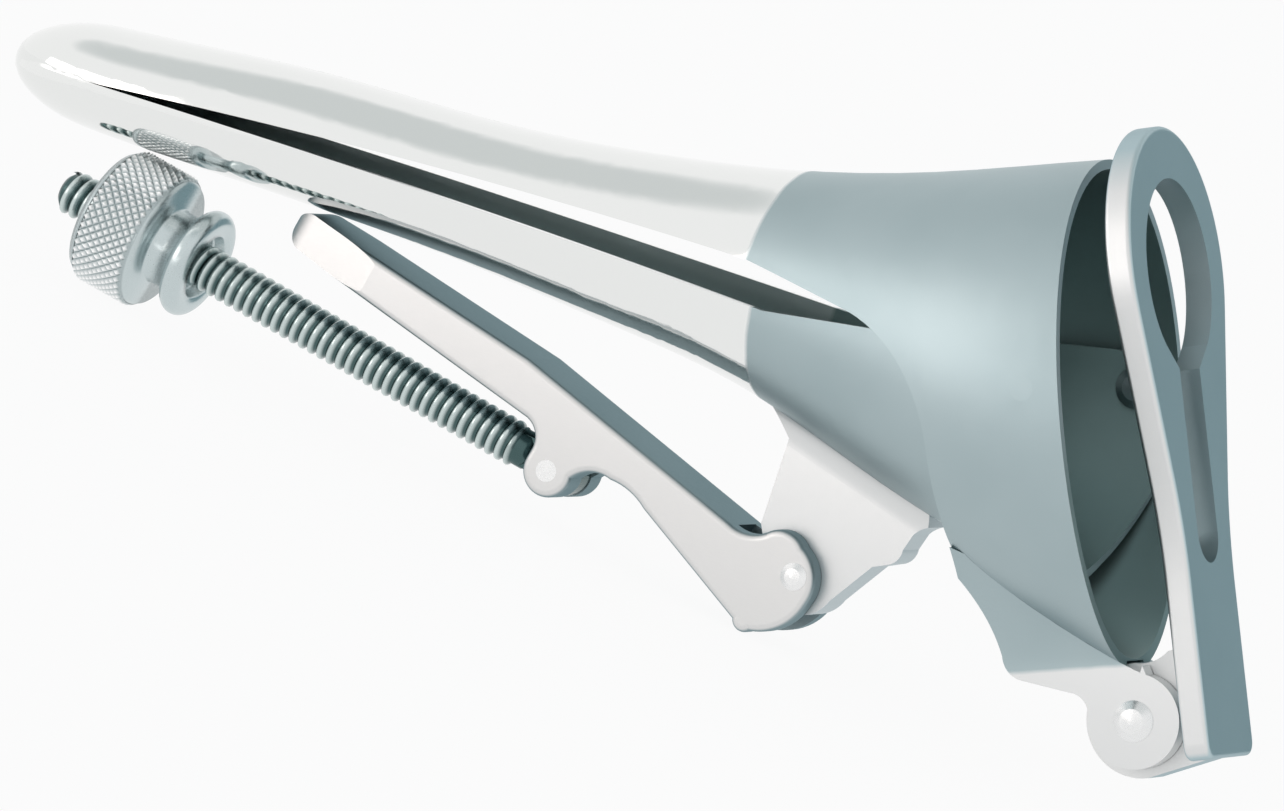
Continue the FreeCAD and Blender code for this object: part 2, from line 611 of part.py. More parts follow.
def lever():
    """The lever bar, forked at its pin, with a lobe on its underside for the screw."""
    body = body_named("lever")
    bar = outline(body, "XZ_Plane", "lever_side", [
        ("-lever_reach + 3.6", "3.5", "3.4"),
        ("-lever_reach", "1", "3.4"),
        ("-lever_reach + 3.6", "-1.4"),
        ("lobe_x - lobe_radius - 2.6", "-2.5", "-3"),
        ("lobe_x - lobe_radius", "lobe_z + 1.4"),
        ("lobe_x - lobe_radius", "lobe_z", "lobe_radius"),
        ("lobe_x", "lobe_z - lobe_radius", "lobe_radius"),
        ("lobe_x + lobe_radius * 0.95", "lobe_z + 0.9", "-4.6"),
        ("lobe_x + lobe_radius + 4.4", "-3.1", "-9"),
        ("lobe_x + lobe_radius + 10.2", "-3.8"),
        ("-4.4", "-9", "1.6"),
        ("-1.6", "-9.1", "7.6"),
        ("3.1", "-2.2", "5.4"),
        ("-1", "3.7", "3.6"),
        ("-6.2", "2.6", "-5"),
        ("-11", "1"),
        ("-45", "4"),
    ])
    side = size("lever_width / 2")
    rounded(body, pad(body, bar, "lever_width"), "Y", (-side, side), "lever_edge")
    fork = outline(body, "XY_Plane", "lever_fork", [
        ("-lever_fork_depth", "-web_thickness / 2 - lever_fork_gap"),
        ("10", "-web_thickness / 2 - lever_fork_gap"),
        ("10", "web_thickness / 2 + lever_fork_gap"),
        ("-lever_fork_depth", "web_thickness / 2 + lever_fork_gap"),
    ])
    cut(body, fork)
    tip = outline(body, "XY_Plane", "lever_tip", [
        ("-lever_reach + 14", "lever_width / 2"),
        ("-lever_reach + 3.5", "lever_width / 2 - 1.6", "4.2"),
        ("-lever_reach", "0", "4.2"),
        ("-lever_reach + 3.5", "-lever_width / 2 + 1.6"),
        ("-lever_reach + 14", "-lever_width / 2"),
        ("-lever_reach + 14", "-lever_width"),
        ("-lever_reach - 4", "-lever_width"),
        ("-lever_reach - 4", "lever_width"),
        ("-lever_reach + 14", "lever_width"),
    ])
    cut(body, tip)
    eye = outline(body, "XZ_Plane", "lever_eye_slot", [
        ("lobe_x - lobe_radius - 7", "lobe_z + eye_radius + 0.8"),
        ("lobe_x - lobe_radius - 7", "lobe_z - lobe_radius - 3"),
        ("lobe_x + lobe_radius + 6", "lobe_z - lobe_radius - 3"),
        ("lobe_x + lobe_radius + 6", "lobe_z + eye_radius + 0.8"),
    ])
    cut(body, eye, "eye_thickness + 2 * eye_gap")
    cut(body, ring(body, "XZ_Plane", "lever_pin_hole", "0", "0", "lever_pin_radius"))
    cut(body, ring(body, "XZ_Plane", "lever_screw_hole", "lobe_x", "lobe_z", "screw_pin_radius"))
    return body


def crowned_pin(label, radius, reach, head, crown):
    """A pin with a low domed head at each end; reach is from the middle to the seat of a head."""
    profile = [
        ("0", f"-({reach} + {crown})"),
        (f"{head} * 0.6", f"-({reach} + {crown} * 0.8)"),
        (head, f"-({reach} + {crown} * 0.1)"),
        (head, f"-({reach})"),
        (radius, f"-({reach})"),
        (radius, reach),
        (head, reach),
        (head, f"{reach} + {crown} * 0.1"),
        (f"{head} * 0.6", f"{reach} + {crown} * 0.8"),
        ("0", f"{reach} + {crown}"),
    ]
    return domed_pin(label, profile)


def screw():
    """The clamp screw: a round rod with a flattened eye on the screw pin."""
    body = body_named("screw")
    rod = outline(body, "XZ_Plane", "screw_rod", [
        ("-screw_length", "0"),
        ("-screw_start", "0"),
        ("-screw_start", "screw_radius * 0.8"),
        ("-screw_start - screw_radius * 0.4", "screw_radius"),
        ("-screw_length + screw_point", "screw_radius"),
        ("-screw_length", "screw_radius - screw_point"),
    ])
    revolve(body, rod, "H_Axis")
    eye = outline(body, "XZ_Plane", "screw_eye", [
        ("-screw_start - screw_radius", "-eye_radius * 0.69"),
        ("-eye_radius * 0.69", "-eye_radius * 0.69"),
        ("0", "-eye_radius", "eye_radius"),
        ("eye_radius", "0", "eye_radius"),
        ("0", "eye_radius"),
        ("-eye_radius * 0.69", "eye_radius * 0.69"),
        ("-screw_start - screw_radius", "eye_radius * 0.69"),
    ])
    pad(body, eye, "eye_thickness")
    cut(body, ring(body, "XZ_Plane", "screw_eye_hole", "0", "0", "screw_pin_radius + running_gap"))
    return body


def screw_pin():
    """The plain pin through the lobe and the eye, flush at both ends."""
    pin = doc.addObject("Part::Cylinder", "screw_pin")
    pin.Label = "screw_pin"
    pin.setExpression("Radius", cells("screw_pin_radius"))
    pin.setExpression("Height", cells("lever_width"))
    return pin


def knurled_nut():
    """The nut: a flange that bears on the plate, a neck, and the wheel for the fingers."""
    body = body_named("knurled_nut")
    bore = "screw_radius + running_gap"
    start = "(screw_length - nut_inset)"
    flange_end = f"{start} + flange_thickness"
    wheel_start = f"{start} + flange_thickness + neck_length"
    wheel_end = f"{start} + flange_thickness + neck_length + wheel_thickness"
    half_flange = "flange_thickness / 2"
    profile = outline(body, "XZ_Plane", "nut_profile", [
        (f"-({wheel_end})", bore),
        (f"-{start} - counterbore_depth", bore),
        (f"-{start} - counterbore_depth", "counterbore_radius"),
        ("-" + start, "counterbore_radius"),
        ("-" + start, f"flange_radius - {half_flange}", half_flange),
        (f"-{start} - {half_flange}", "flange_radius", half_flange),
        (f"-({flange_end})", f"flange_radius - {half_flange}"),
        (f"-({flange_end})", "neck_radius"),
        (f"-({wheel_start})", "neck_radius"),
        (f"-({wheel_start})", "wheel_radius - wheel_chamfer"),
        (f"-({wheel_start}) - wheel_chamfer", "wheel_radius"),
        (f"-({wheel_end}) + wheel_chamfer", "wheel_radius"),
        (f"-({wheel_end})", "wheel_radius - wheel_chamfer"),
    ])
    revolve(body, profile, "H_Axis")
    return body


def keyhole_plate():
    """The flat plate with its keyhole, hung on the lug by a knuckle on its foot."""
    body = body_named("keyhole_plate")
    side = "sqrt(plate_head_radius ^ 2 - plate_waist ^ 2)"
    face = outline(body, "YZ_Plane", "plate_face", [
        ("0", "plate_head_z + plate_head_radius", "plate_head_radius"),
        ("-" + side, "plate_head_z - plate_waist"),
        ("-flank_half", "flank_z", "-50"),
        ("-shank_half", "shank_z"),
        ("-shank_half", "foot_z + foot_corner", "foot_corner"),
        ("-shank_half + foot_corner", "foot_z"),
        ("shank_half - foot_corner", "foot_z", "foot_corner"),
        ("shank_half", "foot_z + foot_corner"),
        ("shank_half", "shank_z", "-50"),
        ("flank_half", "flank_z"),
        (side, "plate_head_z - plate_waist", "plate_head_radius"),
    ])
    face.setExpression("AttachmentOffset.Base.z", cells("plate_offset + plate_thickness / 2"))
    faces = (size("plate_offset"), size("plate_offset + plate_thickness"))
    rounded(body, pad(body, face, "plate_thickness"), "X", faces, "plate_edge")
    knuckle = outline(body, "XZ_Plane", "plate_knuckle", [
        ("0", "-knuckle_radius", "-knuckle_radius"),
        ("-knuckle_radius", "0", "-knuckle_radius"),
        ("0", "knuckle_radius", "knuckle_radius * 0.7"),
        ("plate_offset * 0.65", "knuckle_top - knuckle_radius / 6", "knuckle_radius * 0.55"),
        ("plate_offset", "knuckle_top"),
        ("plate_offset + plate_thickness / 3", "knuckle_top"),
        ("plate_offset + plate_thickness / 3", "foot_z"),
    ])
    pad(body, knuckle, "knuckle_width")
    shoulder = "plate_hole_z - plate_hole_radius"
    key = outline(body, "YZ_Plane", "plate_keyhole", [
        ("0", "plate_hole_z + plate_hole_radius", "plate_hole_radius"),
        ("-plate_hole_radius", "plate_hole_z", "plate_hole_radius"),
        ("-plate_hole_radius * 0.669", "plate_hole_z - plate_hole_radius * 0.743"),
        ("-slot_half", shoulder),
        ("-slot_half", "slot_bottom_z + slot_half", "slot_half"),
        ("0", "slot_bottom_z", "slot_half"),
        ("slot_half", "slot_bottom_z + slot_half"),
        ("slot_half", shoulder),
        ("plate_hole_radius * 0.669", "plate_hole_z - plate_hole_radius * 0.743", "plate_hole_radius"),
        ("plate_hole_radius", "plate_hole_z", "plate_hole_radius"),
    ])
    cut(body, key)
    cut(body, ring(body, "XZ_Plane", "plate_pin_hole", "0", "0", "plate_pin_radius + running_gap"))
    return body


def at(x, z, tilt="0"):
    """A place in the blade frame with a turn about the Y axis."""
    return Placement(Vector(size(x), 0, size(z)), Rotation(Vector(0, 1, 0), size(tilt)))


def lowest(piece, place, lean):
    """Height of the lowest point of a piece with the whole instrument leaned by an angle."""
    shape = piece.Shape.copy()
    shape.Placement = Placement(Vector(), Rotation(Vector(0, 1, 0), lean)).multiply(place)
    return shape.optimalBoundingBox(True, False).ZMin


def resting_lean(first, second):
    """The lean, tip down, that brings two pieces down to one level."""
    low, high = -25.0, 0.0
    for _ in range(30):
        lean = (low + high) / 2
        if lowest(*first, lean) > lowest(*second, lean):
            low = lean
        else:
            high = lean
    return lean


upper_outer, upper_body = upper_valve()
lower_outer, lower_body = lower_valve()
collar_lug_piece = fitted("collar_lug", collar_lug(), upper_outer)
lower_lug_piece = fitted("lower_lug", lower_lug(), lower_outer)
left_rivet = hinge_rivet("valve_hinge_rivet_left", "1")
right_rivet = hinge_rivet("valve_hinge_rivet_right", "-1")
lever_body = lever()
lever_pin = crowned_pin("lever_pin", "lever_pin_radius", "(lever_width / 2)", "lever_pin_head",
                        "lever_pin_crown")
screw_body = screw()
screw_pin_piece = screw_pin()
nut_body = knurled_nut()
plate_body = keyhole_plate()
ear_face = "(knuckle_width / 2 + knuckle_gap + ear_thickness)"
plate_pin = crowned_pin("plate_pin", "plate_pin_radius", ear_face, "plate_pin_head",
                        "plate_pin_crown")
doc.recompute()

HERE = Placement()
LEVER = at("lever_pin_x", "lever_pin_z", "lever_tilt")
LOBE = LEVER.multiply(at("lobe_x", "lobe_z"))
SCREW = Placement(LOBE.Base, Rotation(Vector(0, 1, 0), size("screw_tilt")))
SCREW_PIN = SCREW.multiply(Placement(Vector(0, size("lever_width / 2"), 0), Rotation(Vector(1, 0, 0), 90)))
PLATE = at("plate_pin_x", "plate_pin_z", "plate_tilt")
PIECES = [
    (upper_body, HERE),
    (collar_lug_piece, HERE),
    (lower_body, HERE),
    (lower_lug_piece, HERE),
    (left_rivet, HERE),
    (right_rivet, HERE),
    (lever_body, LEVER),
    (lever_pin, LEVER),
    (screw_body, SCREW),
    (screw_pin_piece, SCREW_PIN),
    (nut_body, SCREW),
    (plate_body, PLATE),
    (plate_pin, PLATE),
]

lean = resting_lean((lever_body, LEVER), (nut_body, SCREW))
turned = Placement(Vector(), Rotation(Vector(0, 1, 0), lean))
box = FreeCAD.BoundBox()
for piece, place in PIECES:
    moved = piece.Shape.copy()
    moved.Placement = turned.multiply(place)
    box.add(moved.optimalBoundingBox(True, False))
stance = Placement(Vector(-(box.XMin + box.XMax) / 2, 0, -box.ZMin), turned.Rotation)
for piece, place in PIECES:
    piece.Placement = stance.multiply(place)
doc.recompute()

broken = [item.Name for item in doc.Objects if "Invalid" in item.State or "Error" in item.State]
if broken:
    raise RuntimeError(f"these did not rebuild: {broken}")
os.makedirs("parts", exist_ok=True)
for piece, place in PIECES:
    if piece.Shape.isNull() or not piece.Shape.isValid():
        raise RuntimeError(f"{piece.Label} has no sound shape")
    piece.Shape.exportStep(f"parts/{piece.Label}.step")
print("lean", round(lean, 3), "origin", [round(value, 3) for value in stance.Base])
print("size", round(box.XLength, 2), round(box.YLength, 2), round(box.ZLength, 2))
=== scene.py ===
"""Looks of the folded bivalve speculum: polished blades, satin collar and plate, and the clamp screw.

Lengths are metres in the row's frame. The blade frame is the one the instrument is drawn in:
X runs along the blades from the tips to the mouth and the blades meet at Z = 0.
"""

import json
import math

import bmesh
import bpy
from mathutils import Euler, Matrix, Vector


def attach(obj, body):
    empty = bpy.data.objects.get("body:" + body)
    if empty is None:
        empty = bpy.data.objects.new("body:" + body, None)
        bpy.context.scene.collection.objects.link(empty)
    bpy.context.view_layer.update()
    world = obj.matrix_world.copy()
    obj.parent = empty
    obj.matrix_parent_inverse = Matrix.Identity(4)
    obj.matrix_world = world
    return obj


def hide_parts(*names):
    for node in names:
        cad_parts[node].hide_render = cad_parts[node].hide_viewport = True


MM = 0.001

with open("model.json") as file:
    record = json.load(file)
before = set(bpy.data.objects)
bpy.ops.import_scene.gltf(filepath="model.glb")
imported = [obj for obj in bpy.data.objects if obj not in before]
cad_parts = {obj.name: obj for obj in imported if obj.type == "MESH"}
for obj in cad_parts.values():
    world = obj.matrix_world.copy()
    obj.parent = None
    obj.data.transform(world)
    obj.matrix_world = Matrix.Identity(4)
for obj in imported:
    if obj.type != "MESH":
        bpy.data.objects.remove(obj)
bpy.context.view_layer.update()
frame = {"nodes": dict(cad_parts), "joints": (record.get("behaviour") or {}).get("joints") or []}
nodes = frame["nodes"]
joints = {joint["name"]: joint for joint in frame["joints"]}

VALVE_RIVET = Vector((-3.6, 0, -1.3)) * MM
PLATE_PIN = Vector((15.8, 0, -38.6)) * MM


def blade_frame():
    """The matrix from the blade frame to the row's frame, from two pins known in both."""
    rivet = Vector(joints["valve_hinge"]["pos_m"])
    pin = Vector(joints["plate_hinge"]["pos_m"])
    drawn, placed = PLATE_PIN - VALVE_RIVET, pin - rivet
    turn = math.atan2(drawn.z, drawn.x) - math.atan2(placed.z, placed.x)
    rotation = Matrix.Rotation(turn, 4, "Y")
    return Matrix.Translation(rivet - rotation @ VALVE_RIVET) @ rotation


BLADES = blade_frame()


def screw_frame():
    """The matrix from the screw's own frame: origin on its pin, -X towards the free end."""
    pin = Vector(joints["screw_hinge"]["pos_m"])
    along = Vector(joints["nut_slide"]["axis"])
    return Matrix.Translation(pin) @ Matrix.Rotation(math.atan2(along.z, -along.x), 4, "Y")


SCREW = screw_frame()
PITCH = 1.46 * MM
THREAD_RADIUS = 3.0 * MM
ROOT_RADIUS = 2.45 * MM
SCREW_LENGTH = 78.4 * MM
SCREW_START = 5.2 * MM
EYE_RADIUS = 3.2 * MM
EYE_HOLE = 1.45 * MM
EYE_THICKNESS = 3.0 * MM
NUT_START = 56.0 * MM
FLANGE_RADIUS = 7.4 * MM
FLANGE_THICKNESS = 2.9 * MM
NECK_RADIUS = 5.1 * MM
NECK_LENGTH = 3.6 * MM
WHEEL_RADIUS = 9.5 * MM
WHEEL_THICKNESS = 9.2 * MM
WHEEL_CHAMFER = 0.9 * MM
BORE_RADIUS = 3.05 * MM
COUNTERBORE_RADIUS = 4.3 * MM
COUNTERBORE_DEPTH = 2.0 * MM
KNURLS_AROUND = 46
KNURL_DEPTH = 0.42 * MM
WELD = 1e-6

NOISE_LOW, NOISE_HIGH = 0.3, 0.7
GRAIN_HEIGHT = 0.04 * MM
FINE_DETAIL, FINE_ROUGHNESS = 3.0, 0.7
CLOUD_DETAIL = 3.0


class Nodes:
    """A material's node tree with short calls."""

    def __init__(self, name):
        self.material = bpy.data.materials.new(name)
        self.material.use_nodes = True
        self.tree = self.material.node_tree
        self.shader = self.tree.nodes["Principled BSDF"]
        self.shader.inputs["Metallic"].default_value = 1.0

    def add(self, kind, **inputs):
        node = self.tree.nodes.new(kind)
        for name, value in inputs.items():
            self.feed(node, name.replace("_", " "), value)
        return node

    def feed(self, node, name, value):
        socket = node.inputs[name]
        if isinstance(value, bpy.types.NodeSocket):
            self.tree.links.new(value, socket)
        else:
            socket.default_value = value

    def math(self, operation, first, second=0.0):
        node = self.tree.nodes.new("ShaderNodeMath")
        node.operation = operation
        for index, value in enumerate((first, second)):
            if isinstance(value, bpy.types.NodeSocket):
                self.tree.links.new(value, node.inputs[index])
            else:
                node.inputs[index].default_value = value
        return node.outputs[0]

    def ramp(self, value, low, high, start=0.0, end=1.0):
        node = self.tree.nodes.new("ShaderNodeMapRange")
        for name, number in (("From Min", low), ("From Max", high), ("To Min", start), ("To Max", end)):
            node.inputs[name].default_value = number
        self.tree.links.new(value, node.inputs["Value"])
        return node.outputs["Result"]

    def blend(self, factor, first, second):
        node = self.tree.nodes.new("ShaderNodeMix")
        node.data_type = "RGBA"
        for index, value in ((0, factor), (6, first), (7, second)):
            if isinstance(value, bpy.types.NodeSocket):
                self.tree.links.new(value, node.inputs[index])
            else:
                node.inputs[index].default_value = value
        return node.outputs[2]

    def place(self, matrix=None, scale=(1, 1, 1)):
        """Object coordinates, brought into another frame and stretched."""
        source = self.tree.nodes.new("ShaderNodeTexCoord").outputs["Object"]
        if matrix is not None:
            back = matrix.inverted()
            source = self.add("ShaderNodeMapping", Vector=source, Location=back.translation[:],
                              Rotation=back.to_euler()[:]).outputs[0]
        return self.add("ShaderNodeMapping", Vector=source, Scale=scale).outputs[0]

    def noise(self, place, scale, detail=2.0, roughness=0.5):
        return self.add("ShaderNodeTexNoise", Vector=place, Scale=scale, Detail=detail,
                        Roughness=roughness).outputs["Fac"]

    def fine(self, scale, place=None):
        """The fine grain of blasted or brushed metal."""
        return self.noise(place or self.place(), scale, FINE_DETAIL, FINE_ROUGHNESS)

    def clouds(self, scale):
        """Slow changes over the surface, from zero to one."""
        return self.ramp(self.noise(self.place(), scale, CLOUD_DETAIL), NOISE_LOW, NOISE_HIGH)

    def bump(self, height, strength):
        node = self.add("ShaderNodeBump", Height=height, Strength=strength, Distance=GRAIN_HEIGHT)
        self.feed(self.shader, "Normal", node.outputs[0])


def satin_steel(name, tone, shade, roughness, grain, edge=(1, 1, 1), sides=None,
                along=None, stretch=(1, 1, 1)):
    """Blasted or brushed steel: fine grain, clouded tone and slightly varied gloss.

    The edge colour tints what is reflected at a glancing angle. Where sides is given, the outer sides
    that face left and right take that brighter tone as a painted highlight for the light they catch.
    Along and stretch lay out the grain.
    """
    cloud_scale, side_start, side_full, grain_strength = 45, 0.55, 0.85, 0.12
    smoothest, roughest = roughness - 0.04, roughness + 0.05
    steel = Nodes(name)
    fine = steel.fine(grain, steel.place(along, stretch))
    colour = steel.blend(steel.clouds(cloud_scale), (*tone, 1), (*shade, 1))
    # Painted highlight: outer faces that look left or right are painted in the bright side tone.
    if sides:
        facing = steel.tree.nodes.new("ShaderNodeTexCoord").outputs["Normal"]
        across = steel.add("ShaderNodeSeparateXYZ", Vector=facing).outputs["Y"]
        left = steel.math("SIGN", steel.add("ShaderNodeSeparateXYZ", Vector=steel.place()).outputs["Y"])
        side_highlight = steel.ramp(steel.math("MULTIPLY", across, left), side_start, side_full)
        colour = steel.blend(side_highlight, colour, (*sides, 1))
    steel.feed(steel.shader, "Base Color", colour)
    steel.feed(steel.shader, "Specular Tint", (*edge, 1))
    steel.feed(steel.shader, "Roughness", steel.ramp(fine, NOISE_LOW, NOISE_HIGH, smoothest, roughest))
    steel.bump(fine, grain_strength)
    return steel.material


def ridged_steel(name, groove_shade, crest_highlight, low, high, body=None, body_limit=0.0):
    """Threaded or knurled steel round the screw's axis, with painted shade in the grooves and a painted
    highlight on the crests.

    Where body is given, it is the tone of the turned faces within body_limit of the axis.
    """
    grain, smoothest, roughest, grain_strength, body_blur = 7000, 0.2, 0.3, 0.1, 0.1 * MM
    steel = Nodes(name)
    spoke = steel.add("ShaderNodeMapping", Vector=steel.place(SCREW), Scale=(0, 1, 1)).outputs[0]
    length = steel.tree.nodes.new("ShaderNodeVectorMath")
    length.operation = "LENGTH"
    steel.tree.links.new(spoke, length.inputs[0])
    radius = length.outputs["Value"]
    # Painted shade towards the grooves and a painted highlight towards the crests, by the distance from the
    # axis.
    colour = steel.blend(steel.ramp(radius, low, high), (*groove_shade, 1), (*crest_highlight, 1))
    fine = steel.fine(grain)
    if body:
        turned_face = steel.ramp(radius, body_limit, body_limit - body_blur)
        colour = steel.blend(turned_face, colour, (*body, 1))
    steel.feed(steel.shader, "Base Color", colour)
    steel.feed(steel.shader, "Roughness", steel.ramp(fine, NOISE_LOW, NOISE_HIGH, smoothest, roughest))
    steel.bump(fine, grain_strength)
    return steel.material


def inward(steel, place):
    """One on faces that look towards the blades' long axis, zero on those that look away from it."""
    inward_start, inward_full = -1.0 * MM, -4.0 * MM
    back = BLADES.inverted().to_euler()
    normal = steel.tree.nodes.new("ShaderNodeTexCoord").outputs["Normal"]
    turned_normal = steel.tree.nodes.new("ShaderNodeMapping")
    turned_normal.vector_type = "VECTOR"
    turned_normal.inputs["Rotation"].default_value = back[:]
    steel.tree.links.new(normal, turned_normal.inputs["Vector"])
    spoke = steel.add("ShaderNodeMapping", Vector=place, Scale=(0, 1, 1)).outputs[0]
    dot = steel.tree.nodes.new("ShaderNodeVectorMath")
    dot.operation = "DOT_PRODUCT"
    steel.tree.links.new(spoke, dot.inputs[0])
    steel.tree.links.new(turned_normal.outputs[0], dot.inputs[1])
    return steel.ramp(dot.outputs["Value"], inward_start, inward_full)


def parted_steel(name, towards, border, bright, gloss, tone, shade, inside=None):
    """Steel with two finishes: bright before a border across one direction and satin beyond it.

    Where inside is given, it holds the two tones of painted shade on the hollow side, before the border and
    beyond it.
    """
    cloud_scale, grain, grain_gloss, grain_strength = 40, 9000, 0.08, 0.15
    waver_scale, waver_width, border_blur = 300, 0.3 * MM, 0.3 * MM
    dull_roughness, hollow_dullness = 0.42, 0.8
    steel = Nodes(name)
    place = steel.place(BLADES)
    reach = steel.tree.nodes.new("ShaderNodeVectorMath")
    reach.operation = "DOT_PRODUCT"
    reach.inputs[1].default_value = towards
    steel.tree.links.new(place, reach.inputs[0])
    split = reach.outputs["Value"]
    waver = steel.math("MULTIPLY", steel.noise(steel.place(), waver_scale), waver_width)
    satin = steel.ramp(steel.math("ADD", split, waver), border - border_blur, border + border_blur)
    fine = steel.fine(grain)
    dull = steel.blend(steel.clouds(cloud_scale), (*tone, 1), (*shade, 1))
    colour = steel.blend(satin, (*bright, 1), dull)
    dulled = satin
    if inside:
        # Painted shade: faces that look in towards the blades' axis take the darker inside tones.
        hollow = inward(steel, place)
        colour = steel.blend(hollow, colour, steel.blend(satin, (*inside[0], 1), (*inside[1], 1)))
        dulled = steel.math("MAXIMUM", satin, steel.math("MULTIPLY", hollow, hollow_dullness))
    steel.feed(steel.shader, "Base Color", colour)
    steel.feed(steel.shader, "Roughness", steel.math("ADD", steel.ramp(dulled, 0, 1, gloss, dull_roughness),
                                                     steel.math("MULTIPLY", fine, grain_gloss)))
    steel.bump(steel.math("MULTIPLY", fine, satin), grain_strength)
    return steel.material


def dress(node, material):
    """Gives a CAD node its material."""
    nodes[node].data.materials.clear()
    nodes[node].data.materials.append(material)


def finished(name, mesh, place, material, body, node):
    """Makes an object of a bmesh, with its place in the mesh, and ties it to its CAD node."""
    bmesh.ops.remove_doubles(mesh, verts=mesh.verts, dist=WELD)
    bmesh.ops.transform(mesh, matrix=place, verts=mesh.verts)
    data = bpy.data.meshes.new(name)
    mesh.to_mesh(data)
    mesh.free()
    data.materials.append(material)
    piece = bpy.data.objects.new(name, data)
    bpy.context.collection.objects.link(piece)
    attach(piece, body)
    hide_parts(node)


def turned(mesh, profile, steps=96):
    """Spins a profile of (distance along -X, radius) round the screw's axis."""
    points = [mesh.verts.new((-along, 0, radius)) for along, radius in profile]
    edges = [mesh.edges.new(pair) for pair in zip(points, points[1:])]
    before = set(mesh.faces)
    bmesh.ops.spin(mesh, geom=points + edges, cent=(0, 0, 0), axis=(1, 0, 0), dvec=(0, 0, 0),
                   angle=math.tau, steps=steps, use_merge=True)
    for face in mesh.faces:
        if face not in before:
            face.smooth = True


def screw_mesh():
    """A rolled thread round a core, with a chamfered point and a flattened eye."""
    mesh = bmesh.new()
    steps = 36
    thread_start, thread_stop = 0.6 * MM, 0.3 * MM
    core_overlap, thread_sink, chamfer, tongue = 0.04 * MM, 0.2 * MM, 0.6 * MM, 0.8 * MM
    pitch_shares = (0.0, 0.16, 0.34, 0.5, 0.66, 0.84)
    heights = (0.0, 0.22, 0.86, 1.0, 0.86, 0.22)
    start, end = SCREW_START + thread_start, SCREW_LENGTH - thread_stop
    turns = int((end - start) / PITCH)
    points = []
    for turn in range(turns):
        for share, height in zip(pitch_shares, heights):
            radius = ROOT_RADIUS + (THREAD_RADIUS - ROOT_RADIUS) * height
            points.append(mesh.verts.new((-start - (turn + share) * PITCH, 0, radius)))
    edges = [mesh.edges.new(pair) for pair in zip(points, points[1:])]
    bmesh.ops.spin(mesh, geom=points + edges, cent=(0, 0, 0), axis=(1, 0, 0), dvec=(-PITCH / steps, 0, 0),
                   angle=math.tau, steps=steps)
    bmesh.ops.remove_doubles(mesh, verts=mesh.verts, dist=WELD)
    for face in mesh.faces:
        face.smooth = True
    core = ROOT_RADIUS + core_overlap
    for vert in mesh.verts:
        inside_ends = min(-vert.co.x - start, end + PITCH / 2 + vert.co.x) / PITCH
        share = min(1.0, max(0.0, inside_ends))
        radius = math.hypot(vert.co.y, vert.co.z)
        scale = (radius * share + (core - thread_sink) * (1 - share)) / radius
        vert.co.y *= scale
        vert.co.z *= scale
    turned(mesh, [
        (SCREW_START - tongue, 0),
        (SCREW_START - tongue, core - chamfer),
        (SCREW_START, core),
        (SCREW_LENGTH - chamfer, core),
        (SCREW_LENGTH, core - chamfer),
        (SCREW_LENGTH, 0),
    ], 48)
    add_eye(mesh)
    return mesh


def add_eye(mesh):
    """The flat eye: a ring on the pin, run into a flat tongue that enters the rod."""
    segments, tongue_side, tongue_end = 48, -2.4 * MM, -SCREW_START - 1.5 * MM
    ring = bmesh.ops.create_circle(mesh, segments=segments, radius=EYE_RADIUS)["verts"]
    hole = bmesh.ops.create_circle(mesh, segments=segments, radius=EYE_HOLE)["verts"]
    edges = list({edge for vert in ring + hole for edge in vert.link_edges})
    face = bmesh.ops.bridge_loops(mesh, edges=edges)["faces"]
    for vert in ring:
        if vert.co.x < tongue_side:
            vert.co.x = tongue_end
    upright = Matrix.Rotation(math.radians(90), 4, "X")
    verts = ring + hole
    bmesh.ops.transform(mesh, matrix=Matrix.Translation((0, EYE_THICKNESS / 2, 0)) @ upright, verts=verts)
    grown = bmesh.ops.extrude_face_region(mesh, geom=face)["geom"]
    moved = [item for item in grown if isinstance(item, bmesh.types.BMVert)]
    bmesh.ops.translate(mesh, vec=(0, -EYE_THICKNESS, 0), verts=moved)
    bmesh.ops.recalc_face_normals(mesh, faces=mesh.faces)


def nut_mesh():
    """The nut: beaded flange, neck and a wheel with a diamond knurl."""
    mesh = bmesh.new()
    wheel = NUT_START + FLANGE_THICKNESS + NECK_LENGTH
    far = wheel + WHEEL_THICKNESS
    bead = FLANGE_THICKNESS / 2
    flange = [(NUT_START + bead - bead * math.cos(math.radians(turn)),
               FLANGE_RADIUS - bead + bead * math.sin(math.radians(turn))) for turn in range(0, 181, 15)]
    rim, corner, bore_chamfer = 0.3 * MM, 0.4 * MM, 0.5 * MM
    floor = NUT_START + COUNTERBORE_DEPTH
    neck = NUT_START + FLANGE_THICKNESS
    face_radius = WHEEL_RADIUS - WHEEL_CHAMFER - 0.1 * MM
    groove_radius = WHEEL_RADIUS - KNURL_DEPTH
    knurl_inset = WHEEL_CHAMFER * 0.7
    turned(mesh, [
        (floor, BORE_RADIUS),
        (floor, COUNTERBORE_RADIUS - rim),
        (floor - rim, COUNTERBORE_RADIUS),
        (NUT_START + rim, COUNTERBORE_RADIUS),
        (NUT_START, COUNTERBORE_RADIUS + rim),
        *flange,
        (neck, NECK_RADIUS + corner),
        (neck + corner, NECK_RADIUS),
        (wheel - corner, NECK_RADIUS),
        (wheel, NECK_RADIUS + corner),
        (wheel, face_radius),
        (wheel + WHEEL_CHAMFER, groove_radius),
    ])
    turned(mesh, [
        (far - WHEEL_CHAMFER, groove_radius),
        (far, face_radius),
        (far, BORE_RADIUS + bore_chamfer),
        (far - bore_chamfer, BORE_RADIUS),
        (floor, BORE_RADIUS),
    ])
    add_knurl(mesh, wheel + knurl_inset, far - knurl_inset)
    bmesh.ops.recalc_face_normals(mesh, faces=mesh.faces)
    return mesh


